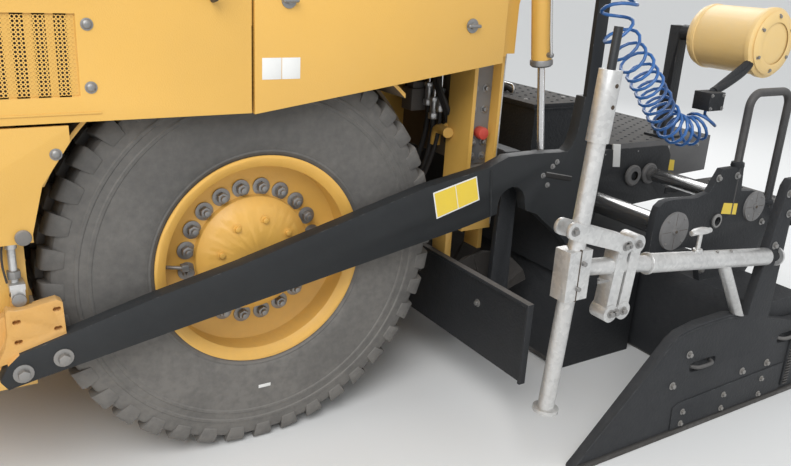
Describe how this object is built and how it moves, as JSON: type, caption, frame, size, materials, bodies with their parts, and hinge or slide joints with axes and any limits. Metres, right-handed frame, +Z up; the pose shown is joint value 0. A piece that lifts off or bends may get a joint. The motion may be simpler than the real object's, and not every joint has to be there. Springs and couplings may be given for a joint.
{
  "type": "wheeled asphalt paver",
  "caption": "Wheeled asphalt paver with folding hopper, slat conveyors, augers, tow arms and a screed with sliding extensions.",
  "frame": {"origin": "on the ground, halfway along the machine and on its middle plane", "axes": "+X to the machine's front, +Y to its left, +Z up"},
  "size_m": [6.3, 3.7638, 3.44],
  "materials": {
    "yellow_paint": "semi-gloss yellow machine paint with dust",
    "black_paint": "satin black paint, worn at the edges",
    "grey_steel": "worn grey steel",
    "bright_steel": "galvanised and bright steel",
    "rubber": "dusty tyre rubber",
    "seat_fabric": "black seat cloth",
    "cord_blue": "blue polyurethane jacket",
    "lamp_glass": "clear lamp lens"
  },
  "bodies": {
    "machine": {"main_frame": "yellow_paint", "tunnel": "yellow_paint", "nose_frame": "yellow_paint", "rear_posts": "yellow_paint", "engine": "grey_steel", "hood": "yellow_paint", "side_panels": "yellow_paint", "platform": "black_paint", "operator_stand": "grey_steel", "seat_pads": "seat_fabric", "canopy_frame": "black_paint", "canopy_roof": "yellow_paint", "exhaust": "grey_steel", "lamps": "lamp_glass", "hopper_frame": "yellow_paint", "conveyors": "grey_steel", "rear_axle": "yellow_paint", "tow_brackets": "yellow_paint", "levelling_rods": "bright_steel", "auger_frame": "black_paint"},
    "door_left": {"door_left": "yellow_paint"},
    "wing_left": {"wing_left": "yellow_paint"},
    "wing_barrel_left": {"wing_barrel_left": "yellow_paint"},
    "wing_rod_left": {"wing_rod_left": "bright_steel"},
    "push_roller_left": {"push_roller_left": "bright_steel"},
    "bogie_left": {"bogie_left": "yellow_paint"},
    "front_wheel_left_1": {"front_wheel_left_1": "rubber"},
    "front_wheel_left_2": {"front_wheel_left_2": "rubber"},
    "rear_wheel_left": {"rear_tyre_left": "rubber", "rear_rim_left": "yellow_paint"},
    "auger_left": {"auger_left": "grey_steel"},
    "extension_left": {"extension_left": "black_paint"},
    "end_gate_left": {"end_gate_left": "black_paint", "mast_left": "bright_steel"},
    "door_right": {"door_right": "yellow_paint"},
    "wing_right": {"wing_right": "yellow_paint"},
    "wing_barrel_right": {"wing_barrel_right": "yellow_paint"},
    "wing_rod_right": {"wing_rod_right": "bright_steel"},
    "push_roller_right": {"push_roller_right": "bright_steel"},
    "bogie_right": {"bogie_right": "yellow_paint"},
    "front_wheel_right_1": {"front_wheel_right_1": "rubber"},
    "front_wheel_right_2": {"front_wheel_right_2": "rubber"},
    "rear_wheel_right": {"rear_tyre_right": "rubber", "rear_rim_right": "yellow_paint"},
    "auger_right": {"auger_right": "grey_steel"},
    "extension_right": {"extension_right": "black_paint"},
    "end_gate_right": {"end_gate_right": "black_paint", "mast_right": "bright_steel"},
    "push_beam": {"push_beam": "yellow_paint"},
    "screed": {"tow_arms": "black_paint", "screed_frame": "black_paint", "side_consoles": "yellow_paint", "curly_cord": "cord_blue"},
    "lift_barrels": {"lift_barrels": "yellow_paint"},
    "lift_rods": {"lift_rods": "bright_steel"}
  },
  "joints": [
    {"name": "door_left_hinge", "type": "hinge", "parent": "machine", "child": "door_left", "pos_m": [-0.99, 1.235, 1.595], "axis": [1, 0, 0], "range_deg": [0, 85]},
    {"name": "wing_left_hinge", "type": "hinge", "parent": "machine", "child": "wing_left", "pos_m": [1.81, 0.64, 0.668], "axis": [1, 0, 0], "range_deg": [0, 58]},
    {"name": "wing_barrel_left_pivot", "type": "hinge", "parent": "machine", "child": "wing_barrel_left", "pos_m": [1.11, 0.7, 0.36], "axis": [1, 0, 0], "range_deg": [0, 45]},
    {"name": "wing_rod_left_stroke", "type": "slide", "parent": "wing_barrel_left", "child": "wing_rod_left", "axis": [0, 0.8321, 0.5547], "range_m": [0, 0.26]},
    {"name": "door_right_hinge", "type": "hinge", "parent": "machine", "child": "door_right", "pos_m": [-0.99, -1.235, 1.595], "axis": [-1, 0, 0], "range_deg": [0, 85]},
    {"name": "wing_right_hinge", "type": "hinge", "parent": "machine", "child": "wing_right", "pos_m": [1.81, -0.64, 0.668], "axis": [-1, 0, 0], "range_deg": [0, 58]},
    {"name": "wing_barrel_right_pivot", "type": "hinge", "parent": "machine", "child": "wing_barrel_right", "pos_m": [1.11, -0.7, 0.36], "axis": [-1, 0, 0], "range_deg": [0, 45]},
    {"name": "wing_rod_right_stroke", "type": "slide", "parent": "wing_barrel_right", "child": "wing_rod_right", "axis": [0, -0.8321, 0.5547], "range_m": [0, 0.26]},
    {"name": "push_beam_pivot", "type": "hinge", "parent": "machine", "child": "push_beam", "pos_m": [2.84, 0, 0.5], "axis": [0, 0, 1], "range_deg": [-8, 8]},
    {"name": "push_roller_left_turn", "type": "hinge", "parent": "push_beam", "child": "push_roller_left", "pos_m": [3.06, 0.4, 0.51], "axis": [0, 1, 0], "continuous": true},
    {"name": "push_roller_right_turn", "type": "hinge", "parent": "push_beam", "child": "push_roller_right", "pos_m": [3.06, -0.4, 0.51], "axis": [0, 1, 0], "continuous": true},
    {"name": "bogie_left_steer", "type": "hinge", "parent": "machine", "child": "bogie_left", "pos_m": [1.86, 0.665, 0.4], "axis": [0, 0, 1], "range_deg": [-18, 18]},
    {"name": "front_wheel_left_1_turn", "type": "hinge", "parent": "bogie_left", "child": "front_wheel_left_1", "pos_m": [2.18, 0.86, 0.27], "axis": [0, 1, 0], "continuous": true},
    {"name": "front_wheel_left_2_turn", "type": "hinge", "parent": "bogie_left", "child": "front_wheel_left_2", "pos_m": [1.54, 0.86, 0.27], "axis": [0, 1, 0], "continuous": true},
    {"name": "bogie_right_steer", "type": "hinge", "parent": "machine", "child": "bogie_right", "pos_m": [1.86, -0.665, 0.4], "axis": [0, 0, 1], "range_deg": [-18, 18]},
    {"name": "front_wheel_right_1_turn", "type": "hinge", "parent": "bogie_right", "child": "front_wheel_right_1", "pos_m": [2.18, -0.86, 0.27], "axis": [0, 1, 0], "continuous": true},
    {"name": "front_wheel_right_2_turn", "type": "hinge", "parent": "bogie_right", "child": "front_wheel_right_2", "pos_m": [1.54, -0.86, 0.27], "axis": [0, 1, 0], "continuous": true},
    {"name": "rear_wheel_left_turn", "type": "hinge", "parent": "machine", "child": "rear_wheel_left", "pos_m": [-0.59, 1, 0.675], "axis": [0, 1, 0], "continuous": true},
    {"name": "auger_left_turn", "type": "hinge", "parent": "machine", "child": "auger_left", "pos_m": [-1.62, 0.6, 0.33], "axis": [0, 1, 0], "continuous": true},
    {"name": "rear_wheel_right_turn", "type": "hinge", "parent": "machine", "child": "rear_wheel_right", "pos_m": [-0.59, -1, 0.675], "axis": [0, 1, 0], "continuous": true},
    {"name": "auger_right_turn", "type": "hinge", "parent": "machine", "child": "auger_right", "pos_m": [-1.62, -0.6, 0.33], "axis": [0, 1, 0], "continuous": true},
    {"name": "screed_lift", "type": "hinge", "parent": "machine", "child": "screed", "pos_m": [0.146, 0, 0.696], "axis": [0, 1, 0], "range_deg": [0, 8]},
    {"name": "lift_barrels_pivot", "type": "hinge", "parent": "machine", "child": "lift_barrels", "pos_m": [-1.61, 0, 1.85], "axis": [0, 1, 0], "range_deg": [-2, 1]},
    {"name": "lift_rods_stroke", "type": "slide", "parent": "lift_barrels", "child": "lift_rods", "axis": [0.1354, 0, 0.9908], "range_m": [0, 0.27]},
    {"name": "extension_left_slide", "type": "slide", "parent": "screed", "child": "extension_left", "axis": [0, 1, 0], "range_m": [-0.525, 0.7]},
    {"name": "end_gate_left_slide", "type": "slide", "parent": "extension_left", "child": "end_gate_left", "axis": [0, 0, 1], "range_m": [0, 0.12]},
    {"name": "extension_right_slide", "type": "slide", "parent": "screed", "child": "extension_right", "axis": [0, -1, 0], "range_m": [-0.525, 0.7]},
    {"name": "end_gate_right_slide", "type": "slide", "parent": "extension_right", "child": "end_gate_right", "axis": [0, 0, 1], "range_m": [0, 0.12]}
  ],
  "couplings": [
    {"joint": "wing_barrel_left_pivot", "follows": "wing_left_hinge", "ratio": 0.69705},
    {"joint": "wing_rod_left_stroke", "follows": "wing_left_hinge", "m_per_rad": 0.23681},
    {"joint": "wing_barrel_right_pivot", "follows": "wing_right_hinge", "ratio": 0.69705},
    {"joint": "wing_rod_right_stroke", "follows": "wing_right_hinge", "m_per_rad": 0.23681},
    {"joint": "bogie_right_steer", "follows": "bogie_left_steer", "ratio": 1},
    {"joint": "lift_barrels_pivot", "follows": "screed_lift", "ratio": -0.13016},
    {"joint": "lift_rods_stroke", "follows": "screed_lift", "m_per_rad": 1.8913}
  ]
}
